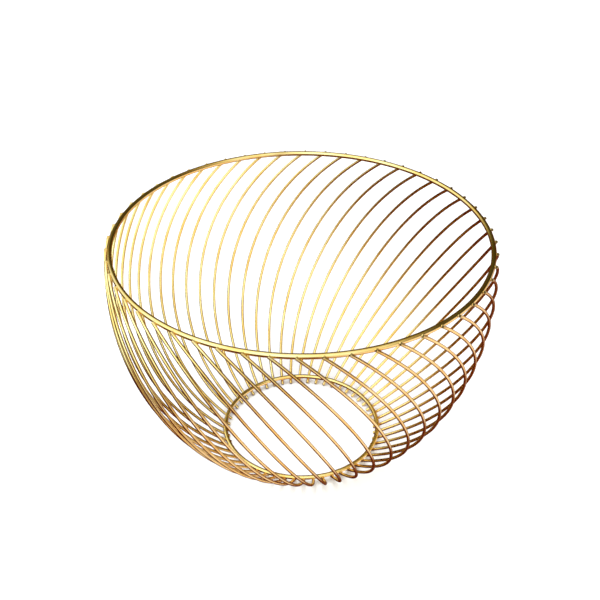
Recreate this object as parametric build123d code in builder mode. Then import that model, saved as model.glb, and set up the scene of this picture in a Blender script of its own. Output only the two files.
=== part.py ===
from build123d import *
from math import acos, atan2, cos, degrees, hypot, radians, sin, sqrt
import os

# Open produce basket of bent steel wire.  Every upright is the same flat, circular arc of
# wire, leaning over to one side, so that the whole wall swirls.  The uprights are welded
# to the outside of a rim ring at the top and to the underside of a base ring at the foot.
# Lengths are millimetres.  The origin is on the floor, on the basket's axis, with +Z up.

# ---- Driving dimensions -----------------------------------------------------------------
WIRE_COUNT = 52             # swirl wires round the basket
WIRE_D = 2.0                # swirl wire diameter
RIM_WIRE_D = 3.4            # rim ring wire diameter
BASE_WIRE_D = 3.0           # base ring wire diameter
WELD_SET = 0.3              # depth that each wire is pressed into a ring at its weld

RIM_WELD_RADIUS = 123.2     # axis to the wire's centre line, level with the rim weld
BASE_WELD_RADIUS = 55.6     # axis to the wire's centre line at the base weld
WELD_HEIGHT = 156.8         # height of the rim weld above the base weld
RIM_SWIRL = 58.6            # degrees from the wire's run-in line back to its rim weld
BASE_SWIRL = 14.3           # degrees from the wire's run-in line back to its base weld
WIRE_BEND_RADIUS = 122.8    # centre line radius of the bent wire

TOP_STUB = 0.6              # wire left above the rim weld, along the wire
FOOT_STUB = 4.5             # wire left inside the base weld, along the wire
FIRST_WIRE_ANGLE = 12.6     # direction of the first wire's rim weld, degrees from +X

# ---- The flat arc of one wire, in its own leaning plane ----------------------------------
# The plane's x axis is horizontal and points out from the basket's axis.  Its y axis
# climbs the lean.  The base weld has y = 0.
rim_out = RIM_WELD_RADIUS * cos(radians(RIM_SWIRL))
rim_side = RIM_WELD_RADIUS * sin(radians(RIM_SWIRL))
base_out = BASE_WELD_RADIUS * cos(radians(BASE_SWIRL))
base_side = BASE_WELD_RADIUS * sin(radians(BASE_SWIRL))
side_run = rim_side - base_side
climb = hypot(WELD_HEIGHT, side_run)
lean_sin = side_run / climb
lean_cos = WELD_HEIGHT / climb

chord = hypot(rim_out - base_out, climb)
chord_to_centre = sqrt(WIRE_BEND_RADIUS**2 - (chord / 2) ** 2)
arc_x = (rim_out + base_out) / 2 - chord_to_centre * climb / chord
arc_y = climb / 2 + chord_to_centre * (rim_out - base_out) / chord
rim_weld_angle = atan2(climb - arc_y, rim_out - arc_x)
base_weld_angle = atan2(-arc_y, base_out - arc_x)
top_angle = rim_weld_angle + TOP_STUB / WIRE_BEND_RADIUS
foot_angle = base_weld_angle - FOOT_STUB / WIRE_BEND_RADIUS


def arc_point(angle):
    """Place of the wire's centre line: out, sideways and up from the base weld's level."""
    x = arc_x + WIRE_BEND_RADIUS * cos(angle)
    y = arc_y + WIRE_BEND_RADIUS * sin(angle)
    return Vector(x, -base_side - y * lean_sin, y * lean_cos)


def arc_heading(angle):
    """Unit direction in which the wire's centre line climbs."""
    return Vector(-sin(angle), -cos(angle) * lean_sin, cos(angle) * lean_cos)


# The lower ends stand on the floor, on the low edge of their cut faces.
foot_heading = arc_heading(foot_angle)
foot_edge_drop = WIRE_D / 2 * sqrt(1 - foot_heading.Z**2)
base_weld_height = foot_edge_drop - arc_point(foot_angle).Z


def ring_seat(angle, ring_d):
    """Radius and height of a ring's centre line, pressed into the inside of the wires."""
    weld = arc_point(angle)
    around = Vector(-weld.Y, weld.X, 0).normalized()
    inward = arc_heading(angle).cross(around).normalized()
    if inward.dot(Vector(weld.X, weld.Y, 0)) > 0:
        inward = -inward
    centre = weld + inward * ((WIRE_D + ring_d) / 2 - WELD_SET)
    return hypot(centre.X, centre.Y), centre.Z + base_weld_height


rim_radius, rim_height = ring_seat(rim_weld_angle, RIM_WIRE_D)
base_radius, base_height = ring_seat(base_weld_angle, BASE_WIRE_D)


# ---- Sub-parts ---------------------------------------------------------------------------
def leaning_plane(turn):
    """The plane in which a wire is bent, with its run-in line turned about the axis."""
    run_in = Vector(1, 0, 0).rotate(Axis.Z, turn)
    climbing = Vector(0, -lean_sin, lean_cos).rotate(Axis.Z, turn)
    start = Vector(0, -base_side, base_weld_height).rotate(Axis.Z, turn)
    return Plane(origin=start, x_dir=run_in, z_dir=run_in.cross(climbing))


def swirl_wire(turn):
    """One upright: a round wire bent to the arc, cut square at both ends."""
    plane = leaning_plane(turn)
    centre = plane.from_local_coords(Vector(arc_x, arc_y, 0))
    spoke = (plane.x_dir * cos(foot_angle) + plane.y_dir * sin(foot_angle)).normalized()
    section = Plane(
        origin=centre + spoke * WIRE_BEND_RADIUS,
        x_dir=spoke,
        z_dir=plane.z_dir.cross(spoke),
    )
    with BuildPart() as wire:
        with BuildSketch(section):
            Circle(WIRE_D / 2)
        revolve(axis=Axis(centre, plane.z_dir), revolution_arc=degrees(top_angle - foot_angle))
    return wire.part


def welded_ring(radius, height, ring_d, wires):
    """A closed ring of round wire, with a seat where each wire is pressed into it."""
    with BuildPart() as ring:
        with BuildSketch(Plane.XZ):
            with Locations((radius, height)):
                Circle(ring_d / 2)
        revolve(axis=Axis.Z)
        add(wires, mode=Mode.SUBTRACT)
    return ring.part


wire_step = 360 / WIRE_COUNT
first_turn = FIRST_WIRE_ANGLE + RIM_SWIRL
swirl_wires = [swirl_wire(first_turn + wire_step * i) for i in range(WIRE_COUNT)]
rim_ring = welded_ring(rim_radius, rim_height, RIM_WIRE_D, swirl_wires)
base_ring = welded_ring(base_radius, base_height, BASE_WIRE_D, swirl_wires)

# ---- Output ------------------------------------------------------------------------------
os.makedirs("parts", exist_ok=True)

rim_ring.label = "rim_ring"
export_step(rim_ring, "parts/rim_ring.step")
base_ring.label = "base_ring"
export_step(base_ring, "parts/base_ring.step")
for number, wire in enumerate(swirl_wires, start=1):
    wire.label = f"swirl_wire_{number:02d}"
    export_step(wire, f"parts/{wire.label}.step")

print(f"rim ring: radius {rim_radius:.2f}, height {rim_height:.2f}")
print(f"base ring: radius {base_radius:.2f}, height {base_height:.2f}")
print(f"wire lean {degrees(acos(lean_cos)):.2f} degrees")
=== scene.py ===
"""Visual model of an open produce basket of gold-plated steel wire.

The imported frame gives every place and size: each swirl wire's bend, the two rings and the
gauge of each wire are measured on the frame's own solids.  The pieces made here stand for
those solids and add what a maker would see on the bench: drawing lines along the wire,
sheared ends, pressed welds with their squeezed-out metal, and the plating's own tint.
All lengths are metres.
"""

from __future__ import annotations

import logging
import math
from dataclasses import dataclass
from enum import Enum

import bpy
import numpy as np
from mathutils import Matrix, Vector

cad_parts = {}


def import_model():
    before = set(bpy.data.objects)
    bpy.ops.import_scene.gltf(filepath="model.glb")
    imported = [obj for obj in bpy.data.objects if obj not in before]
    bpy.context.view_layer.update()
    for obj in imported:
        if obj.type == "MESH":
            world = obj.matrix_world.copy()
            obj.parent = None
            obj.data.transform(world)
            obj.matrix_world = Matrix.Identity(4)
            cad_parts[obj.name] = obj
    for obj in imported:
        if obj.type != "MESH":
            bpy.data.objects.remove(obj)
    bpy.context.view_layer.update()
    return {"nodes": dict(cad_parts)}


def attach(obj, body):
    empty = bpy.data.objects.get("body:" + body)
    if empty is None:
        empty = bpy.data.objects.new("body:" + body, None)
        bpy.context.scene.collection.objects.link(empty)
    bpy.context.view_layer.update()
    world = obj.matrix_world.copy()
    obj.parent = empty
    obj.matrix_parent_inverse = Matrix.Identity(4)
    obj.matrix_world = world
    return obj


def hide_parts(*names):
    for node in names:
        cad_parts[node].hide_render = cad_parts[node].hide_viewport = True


LOG = logging.getLogger("produce_basket")
MM = 0.001
BODY = "root"
BAKE_MAP = "OFBake"
LINES = "drawing_lines"
HEAT = "weld_heat"
SHEAR = "sheared_face"
WELD_SEARCH_STEPS = 8001
LENGTH_DIGITS = 7
Colour = tuple[float, float, float]
Span = tuple[float, float]
Face = tuple[int, ...]
MapPlace = tuple[float, float]
WHOLE: Span = (0.0, 1.0)


class Zone(Enum):
    """The places on the basket that each take their own coat of plating."""

    RIM = "rim_plating"
    WIRE = "wire_plating"
    BASE = "base_plating"
    WELD = "weld_plating"


# ---- Shapes read from the frame ----------------------------------------------------------


def node_points(node: bpy.types.Object) -> np.ndarray:
    """Reads a frame node's corner points.

    Args:
        node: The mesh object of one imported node.

    Returns:
        The points as rows of x, y and z.
    """
    flat = np.zeros(len(node.data.vertices) * 3, np.float32)
    node.data.vertices.foreach_get("co", flat)
    return flat.reshape(-1, 3).astype(float)


@dataclass(frozen=True)
class RingLine:
    """Centre line of a level ring, and the radius of the wire it is made of."""

    radius: float
    height: float
    gauge: float

    @classmethod
    def of_node(cls, node: bpy.types.Object) -> RingLine:
        """Measures a ring node, whose inside is a clean round wire.

        Args:
            node: The ring's mesh object.

        Returns:
            The ring's centre line and wire radius.
        """
        points = node_points(node)
        low, high = points[:, 2].min(), points[:, 2].max()
        gauge = (high - low) / 2
        inside = np.hypot(points[:, 0], points[:, 1]).min()
        return cls(inside + gauge, (low + high) / 2, gauge)

    def nearest(self, point: np.ndarray) -> np.ndarray:
        """Finds the centre line's nearest place to a point.

        Args:
            point: A place beside the ring.

        Returns:
            The place on the ring's centre line.
        """
        out = point[:2] / np.hypot(*point[:2])
        return np.array([*(out * self.radius), self.height])


@dataclass(frozen=True)
class WireLine:
    """Centre line of one swirl wire: a flat arc from its foot up to its top end."""

    centre: np.ndarray
    spoke: np.ndarray
    rise: np.ndarray
    normal: np.ndarray
    bend: float
    half_turn: float
    gauge: float

    @classmethod
    def of_node(cls, node: bpy.types.Object) -> WireLine:
        """Fits a flat arc of round wire to a swirl wire node.

        Args:
            node: The wire's mesh object.

        Returns:
            The arc, with its angle zero half way along and rising to the top end.
        """
        points = node_points(node)
        middle = points.mean(axis=0)
        normal = np.linalg.svd(points - middle, full_matrices=False)[2][2]
        spoke = np.array([middle[0], middle[1], 0.0])
        spoke -= normal * (spoke @ normal)
        spoke /= np.linalg.norm(spoke)
        rise = np.cross(normal, spoke)
        if rise[2] < 0:
            normal, rise = -normal, -rise
        across = np.stack([(points - middle) @ spoke, (points - middle) @ rise], axis=1)
        terms = np.column_stack([2 * across, np.ones(len(across))])
        found = np.linalg.lstsq(terms, (across**2).sum(axis=1), rcond=None)[0]
        centre = middle + spoke * found[0] + rise * found[1]
        bend = math.sqrt(found[2] + found[0] ** 2 + found[1] ** 2)
        away = points - centre
        reach = np.hypot(away @ spoke, away @ rise)
        gauge = float(np.hypot(reach - bend, away @ normal).mean())
        # Points all round the wire put the fitted circle a little outside the centre line.
        bend = math.sqrt(bend**2 - gauge**2 / 2)
        turns = np.arctan2(away @ rise, away @ spoke)
        mid = (turns.max() + turns.min()) / 2
        return cls(
            centre,
            spoke * math.cos(mid) + rise * math.sin(mid),
            rise * math.cos(mid) - spoke * math.sin(mid),
            normal,
            bend,
            float(turns.max() - turns.min()) / 2,
            gauge,
        )

    @property
    def length(self) -> float:
        """Length of the centre line."""
        return 2 * self.half_turn * self.bend

    def out(self, along: np.ndarray) -> np.ndarray:
        """Directions out from the bend's centre, at lengths along the wire.

        Args:
            along: Lengths from the foot end.

        Returns:
            One unit direction in each row.
        """
        turn = (along - self.length / 2) / self.bend
        return np.outer(np.cos(turn), self.spoke) + np.outer(np.sin(turn), self.rise)

    def points(self, along: np.ndarray) -> np.ndarray:
        """Places on the centre line, at lengths from the foot end.

        Args:
            along: Lengths from the foot end.

        Returns:
            One place in each row.
        """
        return self.centre + self.bend * self.out(along)

    def weld_on(self, ring: RingLine) -> float:
        """Finds where the wire crosses a ring.

        Args:
            ring: The ring that it is welded to.

        Returns:
            The length from the foot end at which the two centre lines are closest.
        """
        along = np.linspace(0, self.length, WELD_SEARCH_STEPS)
        places = self.points(along)
        out = np.hypot(places[:, 0], places[:, 1]) - ring.radius
        gap = np.hypot(out, places[:, 2] - ring.height)
        return float(along[gap.argmin()])


# ---- Mesh work ---------------------------------------------------------------------------


@dataclass
class Skin:
    """A swept skin: rows of points round a wire, with what the plating needs to know.

    The lines are each point's place on the straight wire, as the drawing die left it.  The
    run is each row's place along the map.  Heat is how near a row is to a weld, and shear is
    1 on a sheared face.  Closed rows go all the way round a ring, and have no ends.
    """

    rows: np.ndarray
    lines: np.ndarray
    run: np.ndarray
    heat: np.ndarray
    shear: np.ndarray
    closed_rows: bool = False

    def to_object(self, name: str) -> bpy.types.Object:
        """Makes the mesh object, smooth shaded, with one tidy unwrapped map.

        Args:
            name: The piece's name.

        Returns:
            The new object, linked to the scene.
        """
        count, round_count = self.rows.shape[:2]
        points = self.rows.reshape(-1, 3)
        faces, maps = self.side_faces(count, round_count)
        if not self.closed_rows:
            points = np.vstack([points, self.rows[0].mean(axis=0), self.rows[-1].mean(axis=0)])
            self.add_ends(faces, maps, count, round_count)
        mesh = bpy.data.meshes.new(name)
        mesh.from_pydata(points.tolist(), [], faces)
        layer = mesh.uv_layers.new(name=BAKE_MAP)
        layer.uv.foreach_set("vector", np.array(maps, np.float32).ravel())
        self.write_values(mesh, len(points) - count * round_count)
        mesh.polygons.foreach_set("use_smooth", [True] * len(faces))
        mesh.validate()
        made = bpy.data.objects.new(name, mesh)
        bpy.context.scene.collection.objects.link(made)
        return made

    def side_faces(self, count: int, round_count: int) -> tuple[list[Face], list[MapPlace]]:
        """Lists the four-sided faces between the rows, and their places on the map.

        Args:
            count: Number of rows.
            round_count: Number of points in each row.

        Returns:
            The faces, and a map place for each of their corners.
        """
        faces, maps = [], []
        last = count if self.closed_rows else count - 1
        for i in range(last):
            j = (i + 1) % count
            low, high = self.run[i], self.run[i + 1]
            for k in range(round_count):
                m = (k + 1) % round_count
                base, top = i * round_count, j * round_count
                faces.append((base + k, base + m, top + m, top + k))
                left, right = k / round_count, (k + 1) / round_count
                maps += [(left, low), (right, low), (right, high), (left, high)]
        return faces, maps

    def add_ends(
        self, faces: list[Face], maps: list[MapPlace], count: int, round_count: int
    ) -> None:
        """Closes both ends with a fan to a middle point.

        Args:
            faces: The faces so far, added to here.
            maps: The map places so far, added to here.
            count: Number of rows.
            round_count: Number of points in each row.
        """
        foot, top = count * round_count, count * round_count + 1
        last = (count - 1) * round_count
        for k in range(round_count):
            m = (k + 1) % round_count
            left, right = k / round_count, (k + 1) / round_count
            middle = (left + right) / 2
            faces.append((foot, m, k))
            maps += [(middle, 0.0), (right, self.run[0]), (left, self.run[0])]
            faces.append((top, last + k, last + m))
            maps += [(middle, 1.0), (left, self.run[-1]), (right, self.run[-1])]

    def write_values(self, mesh: bpy.types.Mesh, poles: int) -> None:
        """Stores the values that the plating reads at each point.

        Args:
            mesh: The mesh to store them on.
            poles: Number of end middle points after the rows.
        """
        round_count = self.rows.shape[1]
        lines = self.lines.reshape(-1, 3)
        heat = np.repeat(self.heat, round_count)
        shear = np.repeat(self.shear, round_count)
        if poles:
            ends = np.stack([self.lines[0].mean(axis=0), self.lines[-1].mean(axis=0)])
            lines = np.vstack([lines, ends])
            heat = np.append(heat, [self.heat[0], self.heat[-1]])
            shear = np.append(shear, [self.shear[0], self.shear[-1]])
        mesh.attributes.new(LINES, "FLOAT_VECTOR", "POINT").data.foreach_set(
            "vector", lines.astype(np.float32).ravel()
        )
        mesh.attributes.new(HEAT, "FLOAT", "POINT").data.foreach_set("value", heat.astype(np.float32))
        mesh.attributes.new(SHEAR, "FLOAT", "POINT").data.foreach_set("value", shear.astype(np.float32))


def near(distance: np.ndarray, reach: float) -> np.ndarray:
    """A smooth bell: 1 at no distance, small beyond the reach.

    Args:
        distance: Distances from the middle of the bell.
        reach: Distance at which it has fallen to about a third.

    Returns:
        The bell's height at each distance.
    """
    return np.exp(-((distance / reach) ** 2))


def round_steps(count: int) -> np.ndarray:
    """Evenly spaced angles once round, without repeating the first."""
    return np.arange(count) * (2 * math.pi / count)


# ---- Finish ------------------------------------------------------------------------------


def spread(
    tree: bpy.types.NodeTree,
    value: bpy.types.NodeSocket,
    source: Span,
    target: Span,
) -> bpy.types.NodeSocket:
    """Maps one range of values on to another.

    Args:
        tree: The material's nodes.
        value: What is mapped.
        source: The range that it comes in.
        target: The range that it goes to.

    Returns:
        The mapped value.
    """
    node = tree.nodes.new("ShaderNodeMapRange")
    node.inputs["From Min"].default_value, node.inputs["From Max"].default_value = source
    node.inputs["To Min"].default_value, node.inputs["To Max"].default_value = target
    tree.links.new(value, node.inputs["Value"])
    return node.outputs["Result"]


def blend(
    tree: bpy.types.NodeTree,
    share: bpy.types.NodeSocket,
    first: bpy.types.NodeSocket | Colour,
    second: bpy.types.NodeSocket | Colour,
) -> bpy.types.NodeSocket:
    """Blends one colour into another.

    Args:
        tree: The material's nodes.
        share: How much of the second colour shows.
        first: The colour at share 0.
        second: The colour at share 1.

    Returns:
        The blended colour.
    """
    node = tree.nodes.new("ShaderNodeMix")
    node.data_type = "RGBA"
    tree.links.new(share, node.inputs["Factor"])
    for name, colour in (("A", first), ("B", second)):
        if isinstance(colour, tuple):
            node.inputs[name].default_value = (*colour, 1.0)
        else:
            tree.links.new(colour, node.inputs[name])
    return node.outputs["Result"]


@dataclass(frozen=True)
class GoldPlating:
    """Polished gold-tone plating on drawn steel wire, for one zone of the basket."""

    zone: Zone
    rich: Colour = (0.84, 0.52, 0.15)
    pale: Colour = (0.94, 0.70, 0.30)
    # Brown of heat near the welds, also the colour of the painted shade in the drawing grooves.
    heat_tint_and_groove_shade: Colour = (0.36, 0.15, 0.035)
    shear_tint: Colour = (0.12, 0.07, 0.03)
    smooth: float = 0.09
    dull: float = 0.22
    line_depth: float = 0.010 * MM
    pit_depth: float = 0.006 * MM
    cloud_waves: float = 42.0
    cloud_detail: float = 3.0
    pit_waves: float = 1700.0
    pit_detail: float = 5.0
    line_waves: float = 3200.0
    line_detail: float = 4.0
    line_squash: float = 0.02
    # Painted shade: how far the drawing grooves are darkened towards the brown tint.
    groove_shade_share: float = 0.35
    most_browned: float = 0.35
    cloud_dulls: float = 0.06
    heat_dulls: float = 0.14
    shear_dulls: float = 0.25
    patch_span: Span = (0.35, 0.65)
    # Painted shade: the range of line depth over which the grooves darken.
    groove_shade_span: Span = (0.30, 0.48)
    brown_span: Span = (0.1, 1.0)
    gloss_span: Span = (0.3, 0.7)

    def material(self) -> bpy.types.Material:
        """Builds the plating's node tree.

        Returns:
            The new material.
        """
        made = bpy.data.materials.new(self.zone.value)
        made.use_nodes = True
        tree = made.node_tree
        tree.nodes.clear()
        shader = tree.nodes.new("ShaderNodeBsdfPrincipled")
        shader.inputs["Metallic"].default_value = 1.0
        output = tree.nodes.new("ShaderNodeOutputMaterial")
        tree.links.new(shader.outputs["BSDF"], output.inputs["Surface"])
        lines = self.drawn_lines(tree)
        cloud = self.noise(tree, self.cloud_waves, self.cloud_detail)
        pits = self.noise(tree, self.pit_waves, self.pit_detail)
        heat = self.stored(tree, HEAT, "Fac")
        shear = self.stored(tree, SHEAR, "Fac")
        tree.links.new(self.colour(tree, lines, cloud, heat, shear), shader.inputs["Base Color"])
        tree.links.new(self.roughness(tree, lines, cloud, heat, shear), shader.inputs["Roughness"])
        tree.links.new(self.relief(tree, lines, pits), shader.inputs["Normal"])
        return made

    @staticmethod
    def stored(tree: bpy.types.NodeTree, name: str, output: str) -> bpy.types.NodeSocket:
        """Reads a value stored on the mesh.

        Args:
            tree: The material's nodes.
            name: The stored value's name.
            output: Which output of the node is wanted.

        Returns:
            The socket that gives it.
        """
        node = tree.nodes.new("ShaderNodeAttribute")
        node.attribute_name = name
        return node.outputs[output]

    @staticmethod
    def noise(tree: bpy.types.NodeTree, scale: float, detail: float) -> bpy.types.NodeSocket:
        """Adds an even noise through the metal.

        Args:
            tree: The material's nodes.
            scale: Waves to the metre.
            detail: Octaves of finer noise on top.

        Returns:
            The noise, 0 to 1.
        """
        place = tree.nodes.new("ShaderNodeTexCoord")
        node = tree.nodes.new("ShaderNodeTexNoise")
        node.inputs["Scale"].default_value = scale
        node.inputs["Detail"].default_value = detail
        tree.links.new(place.outputs["Object"], node.inputs["Vector"])
        return node.outputs["Fac"]

    def drawn_lines(self, tree: bpy.types.NodeTree) -> bpy.types.NodeSocket:
        """Adds the fine lines that a drawing die leaves along the wire.

        Args:
            tree: The material's nodes.

        Returns:
            The lines, 0 in a groove to 1 on a crest.
        """
        stretch = tree.nodes.new("ShaderNodeVectorMath")
        stretch.operation = "MULTIPLY"
        stretch.inputs[1].default_value = (1.0, 1.0, self.line_squash)
        tree.links.new(self.stored(tree, LINES, "Vector"), stretch.inputs[0])
        node = tree.nodes.new("ShaderNodeTexNoise")
        node.inputs["Scale"].default_value = self.line_waves
        node.inputs["Detail"].default_value = self.line_detail
        tree.links.new(stretch.outputs["Vector"], node.inputs["Vector"])
        return node.outputs["Fac"]

    def colour(
        self,
        tree: bpy.types.NodeTree,
        lines: bpy.types.NodeSocket,
        cloud: bpy.types.NodeSocket,
        heat: bpy.types.NodeSocket,
        shear: bpy.types.NodeSocket,
    ) -> bpy.types.NodeSocket:
        """Colours the plating: thicker and thinner gold, painted shade in the drawing grooves, brown by the
        welds, dull at the shear.

        Args:
            tree: The material's nodes.
            lines: The drawing lines.
            cloud: The slow change in the plating's thickness.
            heat: Nearness to a weld.
            shear: 1 on a sheared end.

        Returns:
            The colour.
        """
        patches = spread(tree, cloud, self.patch_span, WHOLE)
        gold = blend(tree, patches, self.rich, self.pale)
        # Painted shade: the gold is darkened in the drawing grooves, deeper grooves darker.
        painted_groove_shade = spread(tree, lines, self.groove_shade_span, (self.groove_shade_share, 0.0))
        gold = blend(tree, painted_groove_shade, gold, self.heat_tint_and_groove_shade)
        browned = spread(tree, heat, self.brown_span, (0.0, self.most_browned))
        gold = blend(tree, browned, gold, self.heat_tint_and_groove_shade)
        return blend(tree, shear, gold, self.shear_tint)

    def roughness(
        self,
        tree: bpy.types.NodeTree,
        lines: bpy.types.NodeSocket,
        cloud: bpy.types.NodeSocket,
        heat: bpy.types.NodeSocket,
        shear: bpy.types.NodeSocket,
    ) -> bpy.types.NodeSocket:
        """Sets how polished the plating is, duller in grooves, by welds and on sheared ends.

        Args:
            tree: The material's nodes.
            lines: The drawing lines.
            cloud: The slow change in the plating's thickness.
            heat: Nearness to a weld.
            shear: 1 on a sheared end.

        Returns:
            The roughness.
        """
        total = spread(tree, lines, self.gloss_span, (self.dull, self.smooth))
        for value, source, rise in (
            (cloud, self.gloss_span, self.cloud_dulls),
            (heat, WHOLE, self.heat_dulls),
            (shear, WHOLE, self.shear_dulls),
        ):
            more = tree.nodes.new("ShaderNodeMath")
            more.operation = "ADD"
            tree.links.new(total, more.inputs[0])
            tree.links.new(spread(tree, value, source, (0.0, rise)), more.inputs[1])
            total = more.outputs["Value"]
        return total

    def relief(
        self,
        tree: bpy.types.NodeTree,
        lines: bpy.types.NodeSocket,
        pits: bpy.types.NodeSocket,
    ) -> bpy.types.NodeSocket:
        """Raises the drawing lines and the plating's fine grain.

        Args:
            tree: The material's nodes.
            lines: The drawing lines.
            pits: The fine grain.

        Returns:
            The bumped normal.
        """
        normal = None
        for height, depth in ((lines, self.line_depth), (pits, self.pit_depth)):
            node = tree.nodes.new("ShaderNodeBump")
            node.inputs["Strength"].default_value = 1.0
            node.inputs["Distance"].default_value = depth
            tree.links.new(height, node.inputs["Height"])
            if normal is not None:
                tree.links.new(normal, node.inputs["Normal"])
            normal = node.outputs["Normal"]
        return normal


@dataclass(frozen=True)
class MattPaper:
    """Plain pale paper that the basket stands on."""

    tone: Colour = (0.92, 0.92, 0.915)
    roughness: float = 0.9

    def material(self) -> bpy.types.Material:
        """Builds the paper's material.

        Returns:
            The new material.
        """
        made = bpy.data.materials.new("matt_paper")
        made.use_nodes = True
        shader = made.node_tree.nodes["Principled BSDF"]
        shader.inputs["Base Color"].default_value = (*self.tone, 1.0)
        shader.inputs["Roughness"].default_value = self.roughness
        return made


def dress(piece: bpy.types.Object, material: bpy.types.Material) -> None:
    """Gives a piece its material and the body that it rides on.

    Args:
        piece: The finished mesh object.
        material: Its finish.
    """
    piece.data.materials.append(material)
    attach(piece, BODY)


# ---- Sub-assemblies ----------------------------------------------------------------------


@dataclass
class WeldedRing:
    """A closed ring of round wire with one dressed butt weld."""

    node: str
    zone: Zone
    seam_turn: float
    round_count: int = 28
    row_length: float = 1.1 * MM
    bead_rise: float = 0.10 * MM
    bead_reach: float = 1.3 * MM
    bead_row_length: float = 0.25 * MM
    bead_half_width: float = 3.9 * MM
    bead_ripple: float = 0.25
    ripple_waves: int = 3
    ripple_turn: float = 1.0
    heat_reach: float = 7.0 * MM

    def turns(self, radius: float) -> np.ndarray:
        """Spaces the rows round the ring, closer together at the butt weld.

        Args:
            radius: The ring's radius.

        Returns:
            Turns in radians, rising, from just past the far side of the butt weld.
        """
        close = self.bead_half_width / radius
        fine = np.arange(-close, close, self.bead_row_length / radius)
        rest = 2 * math.pi - 2 * close
        count = round(rest * radius / self.row_length)
        coarse = close + np.arange(count) * (rest / count)
        return self.seam_turn + np.concatenate([fine, coarse])

    def mesh(self, line: RingLine) -> bpy.types.Object:
        """Sweeps the ring's skin.

        Args:
            line: The ring's centre line and wire radius.

        Returns:
            The ring piece.
        """
        turns = self.turns(line.radius)
        past_seam = (turns - self.seam_turn) * line.radius
        whole = 2 * math.pi * line.radius
        from_seam = np.minimum(np.abs(past_seam), np.abs(whole - past_seam))
        around = round_steps(self.round_count)
        bead = self.bead_rise * near(from_seam, self.bead_reach)
        ripple = self.bead_ripple * bead[:, None] * np.sin(self.ripple_waves * around + self.ripple_turn)
        thick = line.gauge + bead[:, None] + ripple
        out = line.radius - thick * np.cos(around)
        rows = np.stack(
            [
                out * np.cos(turns)[:, None],
                out * np.sin(turns)[:, None],
                line.height + thick * np.sin(around),
            ],
            axis=2,
        )
        lines = np.stack(
            [
                np.broadcast_to(line.gauge * np.cos(around), thick.shape),
                np.broadcast_to(line.gauge * np.sin(around), thick.shape),
                np.broadcast_to(past_seam[:, None], thick.shape),
            ],
            axis=2,
        )
        run = np.append(turns - turns[0], 2 * math.pi) / (2 * math.pi)
        heat = near(from_seam, self.heat_reach)
        skin = Skin(rows, lines, run, heat, np.zeros(len(turns)), closed_rows=True)
        return skin.to_object(f"{self.node}_wire")

    def build(self, line: RingLine) -> bpy.types.Object:
        """Makes and dresses the ring.

        Args:
            line: The ring's centre line and wire radius.

        Returns:
            The ring piece.
        """
        piece = self.mesh(line)
        dress(piece, GoldPlating(self.zone).material())
        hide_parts(self.node)
        return piece


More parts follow.
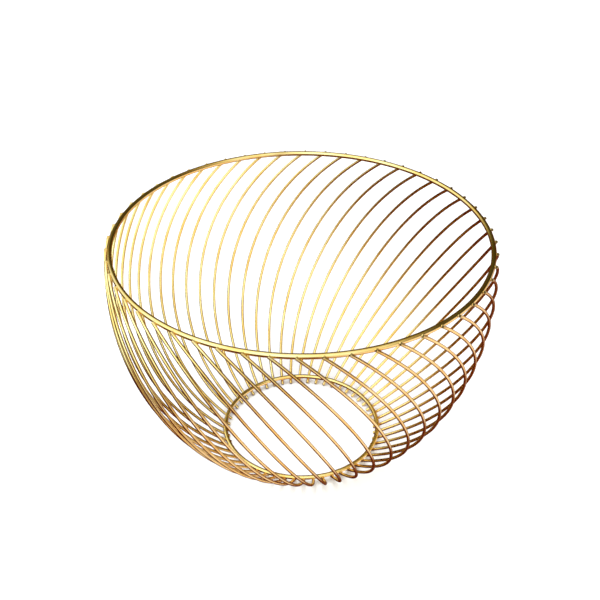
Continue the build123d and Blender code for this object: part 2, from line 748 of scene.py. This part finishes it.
@dataclass
class SwirlWires:
    """The leaning uprights, each a bent arc of drawn wire with sheared ends."""

    names: list[str]
    rim: RingLine
    base: RingLine
    round_count: int = 20
    row_length: float = 2.0 * MM
    weld_row_length: float = 0.35 * MM
    weld_span: float = 4.0 * MM
    corner: float = 0.22 * MM
    corner_rows: int = 5
    face_rings: tuple[float, float] = (0.30, 0.72)
    press_depth: float = 0.09 * MM
    press_reach: float = 1.6 * MM
    swell_share: float = 0.4
    heat_reach: float = 2.6 * MM

    def body_rows(self, wire: WireLine, welds: list[float]) -> np.ndarray:
        """Spaces the rows along a wire, closer together at its welds.

        Args:
            wire: The wire's centre line.
            welds: Lengths from the foot at which it is welded.

        Returns:
            Lengths from the foot end, between the two rounded corners.
        """
        start, stop = self.corner, wire.length - self.corner
        rows = np.linspace(start, stop, round((stop - start) / self.row_length) + 1)
        for weld in welds:
            low, high = max(start, weld - self.weld_span), min(stop, weld + self.weld_span)
            close = np.linspace(low, high, round((high - low) / self.weld_row_length) + 1)
            rows = np.concatenate([rows[(rows < low) | (rows > high)], close])
        return np.unique(np.round(np.append(rows, [start, stop]), LENGTH_DIGITS))

    def profile(self, wire: WireLine, welds: list[float]) -> tuple[np.ndarray, np.ndarray, np.ndarray]:
        """Lists each row's place, its radius and whether it is on a sheared face.

        Args:
            wire: The wire's centre line.
            welds: Lengths from the foot at which it is welded.

        Returns:
            Lengths from the foot end, radii, and 1 on the sheared faces.
        """
        turn = np.linspace(0, math.pi / 2, self.corner_rows)
        dip = self.corner * (1 - np.sin(turn))
        shrink = self.corner * (1 - np.cos(turn[::-1]))
        face = np.array(self.face_rings) * (wire.gauge - self.corner)
        body = self.body_rows(wire, welds)[1:-1]
        along = np.concatenate([[0, 0], dip[::-1], body, wire.length - dip, [wire.length] * 2])
        radius = np.concatenate(
            [
                face,
                wire.gauge - shrink,
                np.full(len(body), wire.gauge),
                wire.gauge - shrink[::-1],
                face[::-1],
            ]
        )
        on_face = np.ones(len(face) + 1)
        shear = np.concatenate([on_face, np.zeros(len(along) - 2 * len(on_face)), on_face])
        return along, radius, shear

    def mesh(self, name: str, wire: WireLine) -> bpy.types.Object:
        """Sweeps one wire's skin.

        Args:
            name: The wire's node name.
            wire: Its centre line.

        Returns:
            The wire piece.
        """
        welds = [wire.weld_on(self.base), wire.weld_on(self.rim)]
        along, radius, shear = self.profile(wire, welds)
        spokes, centres = wire.out(along), wire.points(along)
        pressed = sum(near(along - weld, self.press_reach) for weld in welds)
        around = round_steps(self.round_count)
        press = self.press_depth / wire.gauge
        squeeze = 1 - press * np.outer(pressed, np.cos(around) ** 2)
        swell = 1 + self.swell_share * press * np.outer(pressed, np.sin(around) ** 2)
        reach = radius[:, None] * squeeze * swell
        rows = (
            centres[:, None, :]
            + (reach * np.cos(around))[:, :, None] * spokes[:, None, :]
            + (reach * np.sin(around))[:, :, None] * wire.normal
        )
        lines = np.stack(
            [
                np.outer(radius, np.cos(around)),
                np.outer(radius, np.sin(around)),
                np.broadcast_to(along[:, None], reach.shape),
            ],
            axis=2,
        )
        steps = np.hypot(np.diff(along), np.diff(radius))
        run = np.concatenate([[radius[0]], radius[0] + np.cumsum(steps)])
        run = run / (run[-1] + radius[-1])
        heat = np.clip(sum(near(along - weld, self.heat_reach) for weld in welds), 0, 1)
        return Skin(rows, lines, run, heat, shear).to_object(f"{name}_drawn")

    def build(self, frame_nodes: dict[str, bpy.types.Object]) -> list[bpy.types.Object]:
        """Makes and dresses every wire.

        Args:
            frame_nodes: The frame's node objects by name.

        Returns:
            The wire pieces, in order round the basket.
        """
        plating = GoldPlating(Zone.WIRE).material()
        pieces = []
        for name in self.names:
            piece = self.mesh(name, WireLine.of_node(frame_nodes[name]))
            dress(piece, plating)
            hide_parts(name)
            pieces.append(piece)
        return pieces


@dataclass
class CrossWelds:
    """Metal squeezed out where the wires are pressed and welded to one ring."""

    name: str
    ring: RingLine
    seed: int
    sides: int = 20
    bands: int = 12
    width: float = 0.86
    thickness: float = 0.50
    unevenness: float = 0.10
    fine_share: float = 0.5
    most_turn: float = 6.28
    heat_left: float = 0.15
    map_edge: float = 0.06

    def blob(self, wire: WireLine, chance: np.random.Generator) -> Skin:
        """Shapes one weld's squeezed-out metal, as a flattened uneven bead.

        Args:
            wire: The wire that is welded.
            chance: Source of the unevenness.

        Returns:
            The bead's skin.
        """
        place = wire.weld_on(self.ring)
        on_wire = wire.points(np.array([place]))[0]
        on_ring = self.ring.nearest(on_wire)
        apart = on_wire - on_ring
        gap = np.linalg.norm(apart)
        press = apart / gap
        middle = on_ring + press * (self.ring.gauge - (self.ring.gauge + wire.gauge - gap) / 2)
        level = np.cross(press, (0.0, 0.0, 1.0))
        level /= np.linalg.norm(level)
        upright = np.cross(level, press)
        wide = self.width * (self.ring.gauge + wire.gauge) / 2
        deep = self.thickness * wire.gauge
        lift = np.linspace(0, math.pi, self.bands + 2)[1:-1]
        around = round_steps(self.sides)
        wobble = 1 + self.unevenness * (
            np.outer(np.sin(lift), np.sin(2 * around + chance.uniform(0, self.most_turn)))
            + self.fine_share
            * np.outer(np.sin(2 * lift), np.sin(3 * around + chance.uniform(0, self.most_turn)))
        )
        across = wide * wobble * np.sin(lift)[:, None]
        rows = (
            middle
            + (across * np.cos(around))[:, :, None] * level
            + (across * np.sin(around))[:, :, None] * upright
            + (deep * np.cos(lift)[:, None] * np.ones(self.sides))[:, :, None] * press
        )
        run = np.linspace(self.map_edge, 1 - self.map_edge, self.bands)
        heat, shear = np.full(self.bands, self.heat_left), np.zeros(self.bands)
        return Skin(rows, rows, run, heat, shear)

    def build(self, wires: list[WireLine]) -> bpy.types.Object:
        """Makes every bead of the ring as one piece and dresses it.

        Args:
            wires: The welded wires.

        Returns:
            The piece.
        """
        chance = np.random.default_rng(self.seed)
        beads = [self.blob(wire, chance).to_object(f"{self.name}_{i}") for i, wire in enumerate(wires)]
        with bpy.context.temp_override(
            active_object=beads[0], object=beads[0], selected_editable_objects=beads, selected_objects=beads
        ):
            bpy.ops.object.join()
        piece = beads[0]
        piece.name = self.name
        piece.data.name = self.name
        dress(piece, GoldPlating(Zone.WELD).material())
        return piece


# ---- Studio ------------------------------------------------------------------------------


@dataclass(frozen=True)
class Softbox:
    """A plain rectangular light."""

    name: str
    place: tuple[float, float, float]
    size: tuple[float, float]
    watts: float
    tone: Colour = (1.0, 1.0, 1.0)

    def build(self, aim: Vector) -> bpy.types.Object:
        """Hangs the light and points it.

        Args:
            aim: The place that it faces.

        Returns:
            The light object.
        """
        data = bpy.data.lights.new(self.name, "AREA")
        data.shape = "RECTANGLE"
        data.size, data.size_y = self.size
        data.energy = self.watts
        data.color = self.tone
        lamp = bpy.data.objects.new(self.name, data)
        lamp.location = self.place
        lamp.rotation_euler = (aim - Vector(self.place)).to_track_quat("-Z", "Y").to_euler()
        bpy.context.scene.collection.objects.link(lamp)
        return lamp


class RoomSide(Enum):
    """The two halves of the room that the polished wire mirrors."""

    ABOVE = "above"
    BELOW = "below"


@dataclass(frozen=True)
class Tones:
    """One half of the mirrored room: its light by direction, from its dark to its bright side."""

    lit_from: tuple[float, float, float]
    stops: tuple[tuple[float, Colour], ...]


@dataclass(frozen=True)
class MirroredRoom:
    """A warm room round the stage that only polished metal sees."""

    half: float = 4.0
    worktop_top: float = -0.12
    room_bottom: float = 0.28
    brightest: float = 2.6

    def tones(self, side: RoomSide) -> Tones:
        """Describes one half of the room.

        Args:
            side: The half above the worktop or the worktop itself.

        Returns:
            Where its light comes from, and its tones by how far they face that way.
        """
        if side is RoomSide.ABOVE:
            return Tones(
                (-0.62, -0.64, 0.40),
                (
                    (0.00, (0.035, 0.028, 0.006)),
                    (0.40, (0.085, 0.074, 0.018)),
                    (0.50, (0.460, 0.410, 0.200)),
                    (0.60, (1.150, 1.320, 1.300)),
                    (0.82, (1.400, 1.740, 1.950)),
                    (0.97, (1.850, 2.350, 2.600)),
                ),
            )
        return Tones(
            (0.91, -0.28, -0.18),
            (
                (0.00, (0.055, 0.007, 0.002)),
                (0.50, (0.110, 0.017, 0.006)),
                (0.72, (0.230, 0.058, 0.018)),
                (0.78, (1.050, 0.950, 0.960)),
                (1.00, (1.400, 1.360, 1.600)),
            ),
        )

    def ramp(
        self, tree: bpy.types.NodeTree, toward: bpy.types.NodeSocket, side: RoomSide
    ) -> bpy.types.NodeSocket:
        """Adds one half's tones.

        Args:
            tree: The material's nodes.
            toward: Unit direction from the basket.
            side: Which half.

        Returns:
            The light's colour.
        """
        tones = self.tones(side)
        facing = tree.nodes.new("ShaderNodeVectorMath")
        facing.operation = "DOT_PRODUCT"
        facing.inputs[1].default_value = Vector(tones.lit_from).normalized()
        tree.links.new(toward, facing.inputs[0])
        share = spread(tree, facing.outputs["Value"], (-1.0, 1.0), WHOLE)
        node = tree.nodes.new("ShaderNodeValToRGB")
        node.color_ramp.interpolation = "EASE"
        while len(node.color_ramp.elements) < len(tones.stops):
            node.color_ramp.elements.new(0.5)
        for element, (place, light) in zip(node.color_ramp.elements, tones.stops):
            element.position = place
            element.color = (*(part / self.brightest for part in light), 1.0)
        tree.links.new(share, node.inputs["Fac"])
        return node.outputs["Color"]

    def material(self) -> bpy.types.Material:
        """Builds the room's glow, by direction from the basket.

        Returns:
            The new material.
        """
        made = bpy.data.materials.new("mirrored_room")
        made.use_nodes = True
        tree = made.node_tree
        tree.nodes.clear()
        place = tree.nodes.new("ShaderNodeTexCoord")
        toward = tree.nodes.new("ShaderNodeVectorMath")
        toward.operation = "NORMALIZE"
        tree.links.new(place.outputs["Object"], toward.inputs[0])
        parts = tree.nodes.new("ShaderNodeSeparateXYZ")
        tree.links.new(toward.outputs["Vector"], parts.inputs["Vector"])
        upper = spread(tree, parts.outputs["Z"], (self.worktop_top, self.room_bottom), WHOLE)
        below = self.ramp(tree, toward.outputs["Vector"], RoomSide.BELOW)
        above = self.ramp(tree, toward.outputs["Vector"], RoomSide.ABOVE)
        glow = tree.nodes.new("ShaderNodeEmission")
        glow.inputs["Strength"].default_value = self.brightest
        tree.links.new(blend(tree, upper, below, above), glow.inputs["Color"])
        output = tree.nodes.new("ShaderNodeOutputMaterial")
        tree.links.new(glow.outputs["Emission"], output.inputs["Surface"])
        return made

    def build(self) -> bpy.types.Object:
        """Makes the room as a box that neither the camera nor the lamps see.

        Returns:
            The room object.
        """
        mesh = bpy.data.meshes.new("mirrored_room")
        corners = [(x, y, z) for x in (-1, 1) for y in (-1, 1) for z in (-1, 1)]
        sides = [(0, 1, 3, 2), (4, 6, 7, 5), (0, 4, 5, 1), (2, 3, 7, 6), (0, 2, 6, 4), (1, 5, 7, 3)]
        mesh.from_pydata([tuple(self.half * c for c in corner) for corner in corners], [], sides)
        mesh.materials.append(self.material())
        made = bpy.data.objects.new("mirrored_room", mesh)
        made.visible_camera = False
        made.visible_diffuse = False
        made.visible_shadow = False
        made.visible_transmission = False
        made.visible_volume_scatter = False
        bpy.context.scene.collection.objects.link(made)
        return made


@dataclass
class Studio:
    """Pale floor, soft lights and the camera."""

    rim: RingLine
    floor_half: float = 30.0
    lens: float = 62.9
    sensor: float = 36.0
    distance: float = 0.6663
    elevation: float = math.radians(31.37)
    dip: float = math.radians(34.66)
    pan: float = math.radians(0.10)
    sky: Colour = (1.0, 1.0, 1.0)
    sky_strength: float = 0.85

    def floor(self) -> bpy.types.Object:
        """Lays the pale floor under the basket.

        Returns:
            The floor object.
        """
        mesh = bpy.data.meshes.new("floor")
        half = self.floor_half
        corners = [(-half, -half, 0), (half, -half, 0), (half, half, 0), (-half, half, 0)]
        mesh.from_pydata(corners, [], [(0, 1, 2, 3)])
        made = bpy.data.objects.new("floor", mesh)
        made.data.materials.append(MattPaper().material())
        made.visible_glossy = False
        bpy.context.scene.collection.objects.link(made)
        return made

    def surroundings(self) -> None:
        """Sets the soft light that comes from all round."""
        world = bpy.data.worlds.new("soft_room")
        world.use_nodes = True
        light = world.node_tree.nodes["Background"]
        light.inputs["Color"].default_value = (*self.sky, 1.0)
        light.inputs["Strength"].default_value = self.sky_strength
        bpy.context.scene.world = world
        bpy.context.scene.view_settings.view_transform = "Standard"

    def camera(self) -> bpy.types.Object:
        """Sets up the camera in front of the basket and above its rim.

        Returns:
            The camera object.
        """
        data = bpy.data.cameras.new("camera")
        data.lens = self.lens
        data.sensor_width = self.sensor
        made = bpy.data.objects.new("camera", data)
        back = math.cos(self.elevation) * self.distance
        up = self.rim.height + math.sin(self.elevation) * self.distance
        made.location = (0.0, -back, up)
        made.rotation_euler = (math.pi / 2 - self.dip, 0.0, self.pan)
        bpy.context.scene.collection.objects.link(made)
        bpy.context.scene.camera = made
        return made

    def build(self) -> None:
        """Sets up the floor, the lights and the camera."""
        self.floor()
        self.surroundings()
        MirroredRoom().build()
        aim = Vector((0.0, 0.0, self.rim.height / 2))
        for box in (
            Softbox("overhead", place=(-0.2, 0.1, 1.5), size=(1.4, 1.0), watts=14.0),
            Softbox("left_key", place=(-1.2, -0.7, 0.9), size=(0.8, 0.8), watts=12.0),
        ):
            box.build(aim).visible_glossy = False
        self.camera()


def main() -> None:
    """Builds the basket's pieces in order, then the studio."""
    logging.basicConfig(level=logging.INFO, format="%(name)s: %(message)s")
    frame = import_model()
    nodes = frame["nodes"]
    rim, base = RingLine.of_node(nodes["rim_ring"]), RingLine.of_node(nodes["base_ring"])
    wire_names = sorted(name for name in nodes if name.startswith("swirl_wire"))
    wires = [WireLine.of_node(nodes[name]) for name in wire_names]
    LOG.info("rim ring: %s", rim)
    LOG.info("first wire: bend %.5f gauge %.5f length %.5f", wires[0].bend, wires[0].gauge, wires[0].length)

    pieces = [
        WeldedRing("rim_ring", Zone.RIM, seam_turn=math.radians(97.0)).build(rim),
        WeldedRing("base_ring", Zone.BASE, seam_turn=math.radians(251.0)).build(base),
        *SwirlWires(wire_names, rim, base).build(nodes),
        CrossWelds("rim_welds", rim, seed=11).build(wires),
        CrossWelds("base_welds", base, seed=23).build(wires),
    ]
    for piece in pieces:
        LOG.info("%s: %d faces", piece.name, len(piece.data.polygons))
    Studio(rim).build()


if __name__ == "__main__":
    main()
